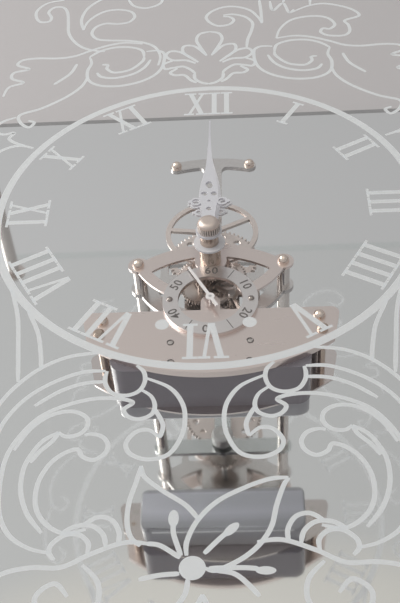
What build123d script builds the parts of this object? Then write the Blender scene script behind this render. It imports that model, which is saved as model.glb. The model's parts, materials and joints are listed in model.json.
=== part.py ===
from build123d import *
import math
import os

# Glass-topped clock with a skeleton movement standing on a mirrored base.
# Millimetres, +Z up. The dial faces up, XII is towards +Y, the main arbor is the Z axis.

# Base, glass and corner pillars
GLASS_W = 480.0
GLASS_L = 630.0
GLASS_T = 8.0
PLATE_CORNER = 12.0
GLASS_EDGE = 1.2
BOARD_T = 16.0
BOARD_EDGE = 2.0
MIRROR_T = 6.0
RIM_W = 5.0
MIRROR_PLAY = 0.2
FOOT_R = 14.0
FOOT_H = 8.0
FOOT_EDGE = 2.0
FOOT_INSET = 40.0
PILLAR_R = 6.25
PILLAR_INSET = 30.0
FLANGE_R = 11.0
FLANGE_T = 3.0
STUD_R = 3.0
STUD_DEPTH = 8.0

# Levels between the mirror and the glass, from the bottom up
LEG_L = 63.4
BRIDGE_T = 3.0
MID_L = 29.0
BACK_T = 3.0
FRONT_GAP = 17.3
FRONT_T = 1.6
DIAL_GAP = 41.1
WIDE_T = 4.0
REAR_T = 1.4
EAR_GAP = 31.9

# Fits
RUN = 0.05
END_PLAY = 0.1
SLIP = 0.2

# Posts and ball nuts
POST_X = 43.3
POST_Y = -2.6
POST_R = 3.9
ROD_R = 2.0
ROD_END = 2.2
LOBE_R = 6.2
BALL_R = 3.5
BALL_FLAT = 3.0

# Front and back plates
TOP_ARC_R = 69.0
TOP_ARC_Y = 13.7
LOW_ARC_R = 48.6
LOW_ARC_Y = 13.8
STRIP_W = 10.4
FLANK_W = 7.0
BOSS_R = 9.6
BACK_STRIP_W = 11.0
BACK_FLANK_W = 9.5
BACK_WEB_X = 16.5
YOKE_X = 32.0
YOKE_LOW = 3.2
YOKE_HIGH = 22.0
YOKE_W = 4.7
YOKE_WEB_X = 11.0
YOKE_CORNER = 3.0
YOKE_ROUND = 1.5
STEM_W = 11.8
TBAR_Y = 119.0
TBAR_W = 9.0
TBAR_X = 25.0
TBAR_ARC_R = 90.0
TBAR_GUSSET = 5.0
SECONDS_LOBE_R = 5.6

# Seconds dial
SECONDS_Y = -33.6
DIAL_RO = 27.6
DIAL_RI = 18.7
DIAL_T = 0.9

# Wide plates with the drive housing between and behind them
WIDE_TOP = -40.0
WIDE_HALF = 74.0
WIDE_LOW_HALF = 69.2
WIDE_LOW_Y = -64.0
WIDE_ARC_Y = 25.2
WIDE_BOTTOM = -87.4
WIDE_CORNER = 4.5
EAR_X = 61.6
EAR_Y = -47.4
EAR_ROD_X = 62.8
EAR_ROD_Y = -57.0
EAR_ROD_R = 2.2
EAR_THREAD_R = 1.6
EAR_HEAD_R = 3.2
EAR_HEAD_H = 2.6
EAR_HEAD_EDGE = 1.2
EYELET_X = 22.2
EYELET_Y = -64.6
EYELET_R = 1.7
HOUSE_HALF = 55.8
HOUSE_TOP = -40.4
HOUSE_BOTTOM = -81.6
HOUSE_CORNER = 8.0
HOUSE_WALL = 2.0
COVER_H = 22.4
COVER_NEAR = -75.6
COVER_NEAR_H = 17.4
COVER_FLAT_Y = -55.0
COVER_FAR_ROUND = 9.0
COVER_WALL = 2.0
NECK_HALF = 52.0
NECK_TOP = -44.0
NECK_BOTTOM = -71.5
NECK_WALL = 1.4
NECK_H = 4.0
NECK_CORNER = 3.0
CELL_R = 13.0
CELL_L = 49.0
CELL_PIP_R = 3.3
CELL_PIP_H = 1.5

# Going train and motion work
WHEEL_T = 2.0
CENTRE_TEETH = 60
CENTRE_MODULE = 0.7
THIRD_LEAVES = 8
THIRD_TEETH = 64
THIRD_MODULE = 0.5
SECONDS_LEAVES = 8
CANNON_TEETH = 12
MINUTE_TEETH = 36
CANNON_MODULE = 0.6
MINUTE_LEAVES = 10
HOUR_TEETH = 40
DRIVE_TEETH = 20
UPPER_TEETH = 56
UPPER_MODULE = 1.0
MINUTE_ANGLE = 245.0
TOOTH_FILL = 0.84
TOOTH_RISE = 0.8
TOOTH_DROP = 1.25
TOOTH_SLOPE = 0.33
WHEEL_RIM = 2.6
WHEEL_SPOKES = 5
WHEEL_SPOKE_W = 2.0
CENTRE_HUB_R = 5.0
THIRD_HUB_R = 3.8
ARBOR_R = 2.0
KNOB_R = 7.5
KNOB_H = 9.0
KNOB_EDGE = 1.4
KNOB_NECK_R = 3.8
KNOB_GAP = 3.0
CANNON_R = 3.5
HOUR_PIPE_R = 6.3
HOUR_SEAT_R = 5.0
LEVEL_GAP = 1.2
PINION_OVER = 0.5
SMALL_STUD_R = 1.2
STUD_HEAD_R = 2.2
STUD_HEAD_H = 1.0
SECONDS_R = 0.9
MOTOR_W = 26.0
MOTOR_TOP = -28.4
MOTOR_BOTTOM = -39.4
MOTOR_H = 13.0
MOTOR_EDGE = 1.5
ROTOR_PLAY = 0.4
ROTOR_DEPTH = 7.8
SECONDS_REACH = 6.5

# Upper wheels
UPPER_R = 1.6
SPOKED_R = 29.3
SPOKED_RIM = 3.2
SPOKED_T = 2.0
SPOKED_SPOKES = 5
SPOKED_TURN = 28.0
SPOKED_SPOKE_W = 3.0
SPOKED_HUB_R = 5.0
HOLED_T = 2.4
HOLED_HOLE_R = 2.4
HOLED_HOLES = 12
HOLE_RING_R = 21.8
UPPER_HUB_R = 4.4

# Hands: half widths of the outline at levels from the arbor out
HAND_T = 1.2
HAND_EYE_R = 1.9
HAND_EYE_X = 2.9
HAND_DROP_W = 2.3
HAND_DROP_L = 3.4
HAND_LOW_EYE_R = 1.7
HAND_DOT_R = 1.0
CURL_W = 1.3
BUD_R = 1.3
HOUR_HUB_R = 9.2
HOUR_LEVEL = 26.5
HOUR_L = 83.0
HOUR_TIP_W = 0.9
HOUR_SPIRE_Y = 70.0
HOUR_SPIRE_W = 3.0
HOUR_WAIST_Y = 58.0
HOUR_WAIST_W = 5.2
HOUR_BODY_Y = 43.0
HOUR_BODY_W = 6.8
HOUR_NECK_Y = 14.0
HOUR_NECK_W = 4.5
HOUR_DROP_Y = 53.2
HOUR_EYES_Y = 44.6
HOUR_DOT_Y = 37.6
HOUR_LOW_EYE_Y = 30.2
HOUR_LOW_CURL_X = 6.6
HOUR_LOW_CURL_Y = 27.0
HOUR_LOW_CURL_R = 2.9
HOUR_CURL_X = 8.6
HOUR_CURL_Y = 35.0
HOUR_CURL_R = 3.7
MINUTE_HUB_R = 7.6
MINUTE_LEVEL = 17.0
MINUTE_L = 108.0
MINUTE_TIP_W = 0.6
MINUTE_SPIRE_Y = 72.0
MINUTE_SPIRE_W = 1.4
MINUTE_WAIST_Y = 52.0
MINUTE_WAIST_W = 3.2
MINUTE_BODY_Y = 34.0
MINUTE_BODY_W = 5.6
MINUTE_NECK_Y = 14.0
MINUTE_NECK_W = 3.8
MINUTE_DROP_Y = 41.4
MINUTE_EYES_Y = 33.0
MINUTE_DOT_Y = 26.2
MINUTE_LOW_EYE_Y = 19.0
MINUTE_CURL_X = 7.8
MINUTE_CURL_Y = 26.0
MINUTE_CURL_R = 3.5
COLLAR_R = 5.5
NUT_R = 7.1
NUT_DOME = 3.2
NUT_TOP = 9.6
SECOND_L = 28.0
SECOND_TAIL = 8.6
SECOND_W = 2.0
SECOND_TIP_W = 1.3
SECOND_HUB_R = 2.6
SECOND_RISE = 1.6
SECOND_T = 0.8
SECOND_AT = 55.4

# Levels that follow from the sizes above
mirror_top = FOOT_H + BOARD_T
bridge_z = mirror_top + LEG_L
bridge_top = bridge_z + BRIDGE_T
back_z = bridge_top + MID_L
back_top = back_z + BACK_T
front_z = back_top + FRONT_GAP
front_top = front_z + FRONT_T
glass_z = front_top + DIAL_GAP
wide_z = front_z - WIDE_T
rear_top = wide_z - EAR_GAP
rear_z = rear_top - REAR_T
dial_top = front_top + DIAL_T
hour_hand_z = glass_z - HOUR_LEVEL - HAND_T
minute_hand_z = glass_z - MINUTE_LEVEL - HAND_T
nut_top = glass_z - NUT_TOP
second_hand_z = dial_top + SECOND_RISE

ALIGN_UP = (Align.CENTER, Align.CENTER, Align.MIN)
nodes = {}


def rod(radius, height, z, x=0.0, y=0.0):
    """Upright cylinder standing on level z."""
    return Pos(x, y, z) * Cylinder(radius, height, align=ALIGN_UP)


def slab(sketch, height, z):
    """Flat piece cut from a sketch, standing on level z."""
    return Pos(0, 0, z) * extrude(sketch, height)


def spot(radius, x=0.0, y=0.0):
    """Disc as a sketch."""
    return Pos(x, y) * Circle(radius)


def block(width, length, corner):
    """Rectangle with round corners as a sketch."""
    return RectangleRounded(width, length, corner)


def band(low, high, half, corner):
    """Round-cornered rectangle between two Y levels as a sketch."""
    return Pos(0, (low + high) / 2) * RectangleRounded(2 * half, high - low, corner)


def outline(points):
    """Closed polygon as a sketch."""
    return make_face(Polyline(points, close=True))


def polar(radius, angle):
    """Point at an angle in radians."""
    return (radius * math.cos(angle), radius * math.sin(angle))


# Gears
def pitch_radius(teeth, module):
    return teeth * module / 2


def tip_radius(teeth, module):
    return pitch_radius(teeth, module) + TOOTH_RISE * module


def root_radius(teeth, module):
    return pitch_radius(teeth, module) - TOOTH_DROP * module


def gear_outline(teeth, module, phase):
    """Gear silhouette as a sketch. Phase is the angle of one tooth's middle."""
    radius = pitch_radius(teeth, module)
    tip = tip_radius(teeth, module)
    root = root_radius(teeth, module)
    half = math.pi / (2 * teeth) * TOOTH_FILL
    half_tip = half - TOOTH_SLOPE * TOOTH_RISE * module / radius
    points = []
    for k in range(teeth):
        middle = phase + 2 * math.pi * k / teeth
        points.append(polar(root, middle - half))
        points.append(polar(radius, middle - half))
        points.append(polar(tip, middle - half_tip))
        points.append(polar(tip, middle + half_tip))
        points.append(polar(radius, middle + half))
        points.append(polar(root, middle + half))
    return outline(points)


def meshed_phase(phase, teeth, other_teeth, direction):
    """Phase that puts the other gear's gap on a tooth, seen along the line of centres."""
    part = (direction - phase) * teeth / (2 * math.pi)
    other_part = 0.5 - part
    return direction + math.pi - other_part * 2 * math.pi / other_teeth


def crossing_windows(inner, outer, count, width, turn):
    """Openings between the spokes of a wheel, as a sketch. Turn is the angle of one spoke in degrees."""
    windows = spot(outer) - spot(inner)
    for k in range(count):
        angle = turn + 360.0 * k / count
        windows -= Rot(0, 0, angle) * Pos(outer / 2, 0) * Rectangle(outer, width)
    return windows


def spoked_gear(teeth, module, phase, hub, bore):
    """Gear with crossings, as a sketch."""
    inside = root_radius(teeth, module) - WHEEL_RIM
    windows = crossing_windows(hub, inside, WHEEL_SPOKES, WHEEL_SPOKE_W, 0.0)
    return gear_outline(teeth, module, phase) - windows - spot(bore)


# Where the arbors stand
centre_r = pitch_radius(CENTRE_TEETH, CENTRE_MODULE)
third_pinion_r = pitch_radius(THIRD_LEAVES, CENTRE_MODULE)
third_r = pitch_radius(THIRD_TEETH, THIRD_MODULE)
seconds_r = pitch_radius(SECONDS_LEAVES, THIRD_MODULE)
to_centre = centre_r + third_pinion_r
to_seconds = third_r + seconds_r
third_y = (to_centre**2 - to_seconds**2 + SECONDS_Y**2) / (2 * SECONDS_Y)
third_x = math.sqrt(to_centre**2 - third_y**2)
motion_distance = pitch_radius(CANNON_TEETH + MINUTE_TEETH, CANNON_MODULE)
hour_module = 2 * motion_distance / (MINUTE_LEAVES + HOUR_TEETH)
minute_x, minute_y = polar(motion_distance, math.radians(MINUTE_ANGLE))
upper_y = pitch_radius(DRIVE_TEETH + UPPER_TEETH, UPPER_MODULE)

# How the teeth stand at rest
third_direction = math.atan2(third_y, third_x)
third_pinion_phase = meshed_phase(0.0, CENTRE_TEETH, THIRD_LEAVES, third_direction)
seconds_direction = math.atan2(SECONDS_Y - third_y, -third_x)
seconds_phase = meshed_phase(0.0, THIRD_TEETH, SECONDS_LEAVES, seconds_direction)
minute_direction = math.radians(MINUTE_ANGLE)
minute_phase = meshed_phase(0.0, CANNON_TEETH, MINUTE_TEETH, minute_direction)
hour_phase = meshed_phase(0.0, MINUTE_LEAVES, HOUR_TEETH, minute_direction + math.pi)
upper_phase = meshed_phase(0.0, DRIVE_TEETH, UPPER_TEETH, math.pi / 2)

# Levels of the wheels, from the back plate up
centre_z = back_top + LEVEL_GAP
third_pinion_z = centre_z - PINION_OVER
third_pinion_top = centre_z + WHEEL_T + PINION_OVER
cannon_z = centre_z + WHEEL_T + LEVEL_GAP
minute_wheel_z = cannon_z + PINION_OVER
cannon_top = minute_wheel_z + WHEEL_T + PINION_OVER
third_wheel_z = minute_wheel_z + WHEEL_T + LEVEL_GAP
third_wheel_top = third_wheel_z + WHEEL_T
seconds_pinion_z = third_wheel_z - PINION_OVER
seconds_pinion_top = third_wheel_top + PINION_OVER
hour_wheel_z = third_wheel_top + LEVEL_GAP + STUD_HEAD_H
hour_wheel_top = hour_wheel_z + WHEEL_T
upper_wheel_z = bridge_top + (MID_L - HOLED_T) / 2
spoked_z = cannon_z + LEVEL_GAP

# Base board with the mirror let into it
board = slab(block(GLASS_W, GLASS_L, PLATE_CORNER), BOARD_T, FOOT_H)
board = fillet(board.edges().group_by(Axis.Z)[0], BOARD_EDGE)
recess = block(GLASS_W - 2 * RIM_W, GLASS_L - 2 * RIM_W, PLATE_CORNER - RIM_W)
board -= slab(recess, MIRROR_T, mirror_top - MIRROR_T)
mirror_w = GLASS_W - 2 * RIM_W - 2 * MIRROR_PLAY
mirror_l = GLASS_L - 2 * RIM_W - 2 * MIRROR_PLAY
mirror = slab(block(mirror_w, mirror_l, PLATE_CORNER - RIM_W), MIRROR_T, mirror_top - MIRROR_T)
glass = slab(block(GLASS_W, GLASS_L, PLATE_CORNER), GLASS_T, glass_z)
glass_edges = glass.edges().group_by(Axis.Z)
glass = chamfer(glass_edges[0] + glass_edges[-1], GLASS_EDGE)
nodes["glass_top"] = glass

# Corner pillars and feet
corners = [(-1, -1), (1, -1), (-1, 1), (1, 1)]
for number, (side, end) in enumerate(corners, 1):
    x = side * (GLASS_W / 2 - PILLAR_INSET)
    y = end * (GLASS_L / 2 - PILLAR_INSET)
    pillar = rod(PILLAR_R, glass_z - mirror_top, mirror_top, x, y)
    pillar += rod(FLANGE_R, FLANGE_T, mirror_top, x, y)
    pillar += rod(FLANGE_R, FLANGE_T, glass_z - FLANGE_T, x, y)
    pillar += rod(STUD_R, STUD_DEPTH + MIRROR_T, mirror_top - MIRROR_T - STUD_DEPTH, x, y)
    nodes[f"corner_pillar_{number}"] = pillar
    mirror -= rod(STUD_R + SLIP, MIRROR_T, mirror_top - MIRROR_T, x, y)
    board -= rod(STUD_R, STUD_DEPTH, mirror_top - MIRROR_T - STUD_DEPTH, x, y)
    foot_x = side * (GLASS_W / 2 - FOOT_INSET)
    foot_y = end * (GLASS_L / 2 - FOOT_INSET)
    foot = rod(FOOT_R, FOOT_H, 0.0, foot_x, foot_y)
    foot = chamfer(foot.edges().group_by(Axis.Z)[0], FOOT_EDGE)
    nodes[f"foot_{number}"] = foot


def ball_head(radius, x, y, z):
    """Ball with a flat seat."""
    middle = z + radius - BALL_FLAT
    ball = Pos(x, y, middle) * Sphere(radius)
    return ball - rod(radius, BALL_FLAT, z - BALL_FLAT, x, y)


def ball_nut(radius, bore, depth, x, y, z):
    """Ball with a flat seat and a blind hole for its stud."""
    return ball_head(radius, x, y, z) - rod(bore, depth, z, x, y)


# Main posts: a leg with a long rod, two spacer tubes and a ball nut on each side
for side, name in ((-1, "left"), (1, "right")):
    x = side * POST_X
    leg = rod(POST_R, LEG_L, mirror_top, x, POST_Y)
    leg += rod(ROD_R, front_top + ROD_END - bridge_z, bridge_z, x, POST_Y)
    leg += rod(STUD_R, STUD_DEPTH + MIRROR_T, mirror_top - MIRROR_T - STUD_DEPTH, x, POST_Y)
    nodes[f"post_leg_{name}"] = leg
    mid = rod(POST_R, MID_L, bridge_top, x, POST_Y) - rod(ROD_R, MID_L, bridge_top, x, POST_Y)
    nodes[f"post_mid_{name}"] = mid
    fore = rod(POST_R, FRONT_GAP, back_top, x, POST_Y) - rod(ROD_R, FRONT_GAP, back_top, x, POST_Y)
    nodes[f"post_front_{name}"] = fore
    nodes[f"ball_nut_{name}"] = ball_nut(BALL_R, ROD_R, ROD_END, x, POST_Y, front_top)
    mirror -= rod(STUD_R + SLIP, MIRROR_T, mirror_top - MIRROR_T, x, POST_Y)
    board -= rod(STUD_R, STUD_DEPTH, mirror_top - MIRROR_T - STUD_DEPTH, x, POST_Y)
nodes["base_board"] = board
nodes["mirror_plate"] = mirror


# Plates
def lens(strip, flank):
    """Area between the high and the low arc, drawn in by a strip and a flank."""
    high = spot(TOP_ARC_R - strip, 0, TOP_ARC_Y - TOP_ARC_R)
    low = spot(LOW_ARC_R - flank, 0, LOW_ARC_Y)
    return high & low


post_lobes = spot(LOBE_R, -POST_X, POST_Y) + spot(LOBE_R, POST_X, POST_Y)
post_holes = spot(ROD_R, -POST_X, POST_Y) + spot(ROD_R, POST_X, POST_Y)
dial_disc = spot(DIAL_RO, 0, SECONDS_Y)

front = lens(0.0, 0.0) + post_lobes + dial_disc
front -= lens(STRIP_W, FLANK_W) - dial_disc - spot(BOSS_R)
front -= spot(DIAL_RI, 0, SECONDS_Y)
front -= post_holes
front -= spot(HOUR_PIPE_R + RUN)
front -= spot(SMALL_STUD_R, minute_x, minute_y)
nodes["front_plate"] = slab(front, FRONT_T, front_z)

yoke_room = YOKE_X - YOKE_W - YOKE_WEB_X
back = lens(0.0, 0.0) + post_lobes
back -= lens(BACK_STRIP_W, BACK_FLANK_W) - Rectangle(2 * BACK_WEB_X, 4 * LOW_ARC_R)
back += Pos(0, (YOKE_LOW + YOKE_HIGH) / 2) * RectangleRounded(2 * YOKE_X, YOKE_HIGH - YOKE_LOW, YOKE_CORNER)
for side in (-1, 1):
    window = RectangleRounded(yoke_room, YOKE_HIGH - YOKE_LOW - 2 * YOKE_W, YOKE_ROUND)
    back -= Pos(side * (YOKE_WEB_X + yoke_room / 2), (YOKE_LOW + YOKE_HIGH) / 2) * window
back += Pos(0, TBAR_Y / 2) * Rectangle(STEM_W, TBAR_Y)
bar_high = spot(TBAR_ARC_R + TBAR_W / 2, 0, TBAR_Y - TBAR_ARC_R)
bar_low = spot(TBAR_ARC_R - TBAR_W / 2, 0, TBAR_Y - TBAR_ARC_R)
bar_room = Pos(0, TBAR_Y) * Rectangle(2 * TBAR_X, 2 * TBAR_X)
bar_drop = TBAR_ARC_R - math.sqrt(TBAR_ARC_R**2 - TBAR_X**2)
back += (bar_high - bar_low) & bar_room
gusset_y = TBAR_Y - TBAR_ARC_R + math.sqrt((TBAR_ARC_R - TBAR_W / 2) ** 2 - (STEM_W / 2) ** 2)
for side in (-1, 1):
    gusset = Pos(side * (STEM_W + TBAR_GUSSET) / 2, gusset_y) * Rectangle(TBAR_GUSSET, 2 * TBAR_GUSSET)
    gusset -= spot(TBAR_GUSSET, side * (STEM_W / 2 + TBAR_GUSSET), gusset_y - TBAR_GUSSET)
    back += gusset & spot(TBAR_ARC_R, 0, TBAR_Y - TBAR_ARC_R)
    back += spot(TBAR_W / 2, side * TBAR_X, TBAR_Y - bar_drop)
    back -= spot(ROD_R, side * TBAR_X, TBAR_Y - bar_drop)
back += spot(SECONDS_LOBE_R, 0, SECONDS_Y)
back -= post_holes
back -= spot(ARBOR_R + RUN)
back -= spot(SECONDS_R + RUN, 0, SECONDS_Y)
back -= spot(UPPER_R + RUN, 0, upper_y)
back -= spot(SMALL_STUD_R, third_x, third_y)
nodes["back_plate"] = slab(back, BACK_T, back_z)

for side, name in ((-1, "left"), (1, "right")):
    x = side * TBAR_X
    y = TBAR_Y - bar_drop
    ball = ball_head(BALL_R, x, y, back_top)
    ball += rod(ROD_R, BACK_T, back_z, x, y)
    nodes[f"bar_ball_{name}"] = ball

bridge = Pos(0, POST_Y) * Rectangle(2 * POST_X, 2 * LOBE_R) + post_lobes + spot(BOSS_R)
bridge += Pos(0, upper_y / 2) * Rectangle(STEM_W, upper_y)
bridge += spot(LOBE_R, 0, upper_y)
bridge -= post_holes
bridge -= spot(ARBOR_R + RUN)
bridge -= spot(UPPER_R + RUN, 0, upper_y)
nodes["rear_bridge"] = slab(bridge, BRIDGE_T, bridge_z)

dial = dial_disc - spot(DIAL_RI, 0, SECONDS_Y) - spot(HOUR_PIPE_R + SLIP)
nodes["seconds_dial"] = slab(dial, DIAL_T, front_top)

# Wide plates
arc_r = WIDE_ARC_Y - WIDE_BOTTOM
ears = [(-WIDE_HALF, WIDE_TOP), (WIDE_HALF, WIDE_TOP), (WIDE_LOW_HALF, WIDE_LOW_Y)]
ears += [(WIDE_LOW_HALF, WIDE_BOTTOM), (-WIDE_LOW_HALF, WIDE_BOTTOM), (-WIDE_LOW_HALF, WIDE_LOW_Y)]
wide = outline(ears)
wide = fillet(wide.vertices().group_by(Axis.Y)[-1], WIDE_CORNER)
wide = wide & spot(arc_r, 0, WIDE_ARC_Y)
for side in (-1, 1):
    wide -= spot(ROD_R, side * EAR_X, EAR_Y)
    wide -= spot(EAR_THREAD_R, side * EAR_ROD_X, EAR_ROD_Y)
wide_front = wide + Pos(0, (SECONDS_Y + WIDE_TOP) / 2) * Rectangle(
    2 * SECONDS_LOBE_R, SECONDS_Y - WIDE_TOP
)
wide_front += spot(SECONDS_LOBE_R, 0, SECONDS_Y)
wide_front -= spot(SECONDS_R + RUN, 0, SECONDS_Y)
for side in (-1, 1):
    wide_front -= spot(EYELET_R, side * EYELET_X, EYELET_Y)
nodes["wide_front_plate"] = slab(wide_front, WIDE_T, wide_z)
neck = band(NECK_BOTTOM, NECK_TOP, NECK_HALF, NECK_CORNER)
neck_room = band(NECK_BOTTOM - SLIP, NECK_TOP + SLIP, NECK_HALF + SLIP, NECK_CORNER + SLIP)
nodes["wide_rear_plate"] = slab(wide - neck_room, REAR_T, rear_z)

for side, name in ((-1, "left"), (1, "right")):
    x = side * EAR_X
    pillar = rod(POST_R, EAR_GAP, rear_top, x, EAR_Y)
    pillar += rod(ROD_R, REAR_T + EAR_GAP + WIDE_T + ROD_END, rear_z, x, EAR_Y)
    nodes[f"ear_pillar_{name}"] = pillar
    nodes[f"ear_ball_{name}"] = ball_nut(BALL_R, ROD_R, ROD_END, x, EAR_Y, front_z)
    x = side * EAR_ROD_X
    bolt = rod(EAR_ROD_R, EAR_GAP, rear_top, x, EAR_ROD_Y)
    bolt += rod(EAR_THREAD_R, REAR_T + EAR_GAP + WIDE_T, rear_z, x, EAR_ROD_Y)
    head = rod(EAR_HEAD_R, EAR_HEAD_H, front_z, x, EAR_ROD_Y)
    bolt += chamfer(head.edges().group_by(Axis.Z)[-1], EAR_HEAD_EDGE)
    nodes[f"ear_bolt_{name}"] = bolt

# Drive housing, its cover and the two cells
house_sketch = band(HOUSE_BOTTOM, HOUSE_TOP, HOUSE_HALF, HOUSE_CORNER)
cell_y = (NECK_TOP + NECK_BOTTOM) / 2
house = slab(house_sketch, EAR_GAP, rear_top)
cavity = band(
    HOUSE_BOTTOM + HOUSE_WALL, HOUSE_TOP - HOUSE_WALL, HOUSE_HALF - HOUSE_WALL, HOUSE_CORNER - HOUSE_WALL
)
house -= slab(cavity, EAR_GAP - 2 * HOUSE_WALL, rear_top + HOUSE_WALL)
neck_bore = band(
    NECK_BOTTOM + NECK_WALL, NECK_TOP - NECK_WALL, NECK_HALF - NECK_WALL, NECK_CORNER - NECK_WALL
)
house += slab(neck, REAR_T + NECK_H, rear_z - NECK_H)
house -= slab(neck_bore, REAR_T + NECK_H + HOUSE_WALL, rear_z - NECK_H)
nodes["housing"] = house

cover_low = rear_z - COVER_H
cover_edge = rear_z - COVER_NEAR_H
cover_belly = COVER_FLAT_Y - COVER_NEAR
cover_rise = COVER_H - COVER_NEAR_H
belly_r = (cover_belly**2 + cover_rise**2) / (2 * cover_rise)
belly_turn = math.asin(cover_belly / belly_r) / 2
belly_y = COVER_FLAT_Y - belly_r * math.sin(belly_turn)
belly_z = cover_low + belly_r - belly_r * math.cos(belly_turn)
belly = ThreePointArc((COVER_NEAR, cover_edge), (belly_y, belly_z), (COVER_FLAT_Y, cover_low))
corners = [(COVER_FLAT_Y, cover_low), (HOUSE_TOP, cover_low), (HOUSE_TOP, rear_z)]
corners += [(COVER_NEAR, rear_z), (COVER_NEAR, cover_edge)]
walls = Polyline(corners)
profile = make_face(belly + walls)
profile = fillet(profile.vertices().group_by(Axis.X)[-1].sort_by(Axis.Y)[0], COVER_FAR_ROUND)
cover_sketch = band(COVER_NEAR, HOUSE_TOP, HOUSE_HALF, HOUSE_CORNER)
cover = slab(cover_sketch, COVER_H, cover_low) & extrude(Plane.YZ * profile, HOUSE_HALF, both=True)
cover_room = extrude(Plane.YZ * offset(profile, -COVER_WALL), HOUSE_HALF, both=True)
cover -= slab(neck_room, COVER_H, cover_low) & cover_room
cover -= slab(neck_room, NECK_H + SLIP, rear_z - NECK_H - SLIP)
nodes["housing_cover"] = cover

cell_z = rear_top + EAR_GAP - HOUSE_WALL - CELL_R
for side, name in ((-1, "left"), (1, "right")):
    start = -CELL_L - CELL_PIP_H / 2 if side < 0 else CELL_PIP_H / 2
    along = Rot(0, 90, 0)
    cell = Pos(start, cell_y, cell_z) * along * Cylinder(CELL_R, CELL_L, align=ALIGN_UP)
    pip = Pos(start + CELL_L, cell_y, cell_z) * along * Cylinder(CELL_PIP_R, CELL_PIP_H, align=ALIGN_UP)
    nodes[f"cell_{name}"] = cell + pip

# Main arbor and what turns with it
arbor_z = bridge_z - KNOB_GAP - KNOB_H
arbor = rod(ARBOR_R, nut_top - NUT_DOME - arbor_z, arbor_z)
nodes["centre_arbor"] = arbor
knob = rod(KNOB_R, KNOB_H, arbor_z)
knob = chamfer(knob.edges().group_by(Axis.Z)[0], KNOB_EDGE)
knob += rod(KNOB_NECK_R, KNOB_GAP - END_PLAY, arbor_z + KNOB_H)
nodes["setting_knob"] = knob - rod(ARBOR_R, KNOB_H + KNOB_GAP, arbor_z)
drive_outline = gear_outline(DRIVE_TEETH, UPPER_MODULE, 0.0)
drive = slab(drive_outline, HOLED_T + 2 * PINION_OVER, upper_wheel_z - PINION_OVER)
nodes["drive_pinion"] = drive - rod(ARBOR_R, MID_L, bridge_top)
centre = slab(spoked_gear(CENTRE_TEETH, CENTRE_MODULE, 0.0, CENTRE_HUB_R, ARBOR_R), WHEEL_T, centre_z)
centre_hub = rod(CENTRE_HUB_R, LEVEL_GAP - END_PLAY, back_top + END_PLAY)
centre_hub -= rod(ARBOR_R, LEVEL_GAP, back_top)
nodes["centre_wheel"] = centre + centre_hub
cannon = rod(CANNON_R, LEVEL_GAP, centre_z + WHEEL_T)
cannon += slab(gear_outline(CANNON_TEETH, CANNON_MODULE, 0.0), cannon_top - cannon_z, cannon_z)
cannon += rod(CANNON_R, minute_hand_z + HAND_T - cannon_top, cannon_top)
nodes["cannon_pinion"] = cannon - rod(ARBOR_R, nut_top, 0.0)
collar_z = hour_hand_z + HAND_T + END_PLAY
collar = rod(COLLAR_R, minute_hand_z - collar_z, collar_z)
nodes["minute_collar"] = collar - rod(CANNON_R, minute_hand_z - collar_z, collar_z)


def curl(radius, x, y):
    """Open ring of scrollwork as a sketch."""
    return spot(radius, x, y) - spot(radius - CURL_W, x, y)


def hand_body(levels):
    """Smooth leaf with a spire, from half widths at levels, as a sketch."""
    right = Spline([(half, y) for half, y in levels])
    left = Spline([(-half, y) for half, y in reversed(levels)])
    tip = Line(right @ 1, left @ 0)
    foot = Line(left @ 1, right @ 0)
    return make_face(right + tip + left + foot)


def side_curls(radius, x, y):
    """Pair of open curls with a bud on each, as a sketch."""
    pair = curl(radius, -x, y) + curl(radius, x, y)
    for side in (-1, 1):
        pair += spot(BUD_R, side * (x + radius), y)
    return pair


def openings(drop_y, eyes_y, dot_y, low_eye_y):
    """Pierced drop, pair of eyes, dot and low eye of a hand, as a sketch."""
    drop = Pos(0, drop_y) * Ellipse(HAND_DROP_W, HAND_DROP_L)
    pair = spot(HAND_EYE_R, -HAND_EYE_X, eyes_y) + spot(HAND_EYE_R, HAND_EYE_X, eyes_y)
    return drop + pair + spot(HAND_DOT_R, 0, dot_y) + spot(HAND_LOW_EYE_R, 0, low_eye_y)


minute_levels = [
    (MINUTE_NECK_W, MINUTE_NECK_Y - MINUTE_HUB_R),
    (MINUTE_NECK_W, MINUTE_NECK_Y),
    (MINUTE_BODY_W, MINUTE_BODY_Y),
    (MINUTE_WAIST_W, MINUTE_WAIST_Y),
    (MINUTE_SPIRE_W, MINUTE_SPIRE_Y),
    (MINUTE_TIP_W, MINUTE_L),
]
minute_hand = hand_body(minute_levels) - openings(
    MINUTE_DROP_Y, MINUTE_EYES_Y, MINUTE_DOT_Y, MINUTE_LOW_EYE_Y
)
minute_hand += side_curls(MINUTE_CURL_R, MINUTE_CURL_X, MINUTE_CURL_Y)
minute_hand += spot(MINUTE_HUB_R)
minute_hand -= spot(CANNON_R)
nodes["minute_hand"] = slab(minute_hand, HAND_T, minute_hand_z)
nut_z = minute_hand_z + HAND_T
nut = rod(NUT_R, nut_top - nut_z, nut_z)
nut = fillet(nut.edges().group_by(Axis.Z)[-1], NUT_DOME)
nodes["hand_nut"] = nut - rod(ARBOR_R, nut_top - NUT_DOME - nut_z, nut_z)

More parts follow.
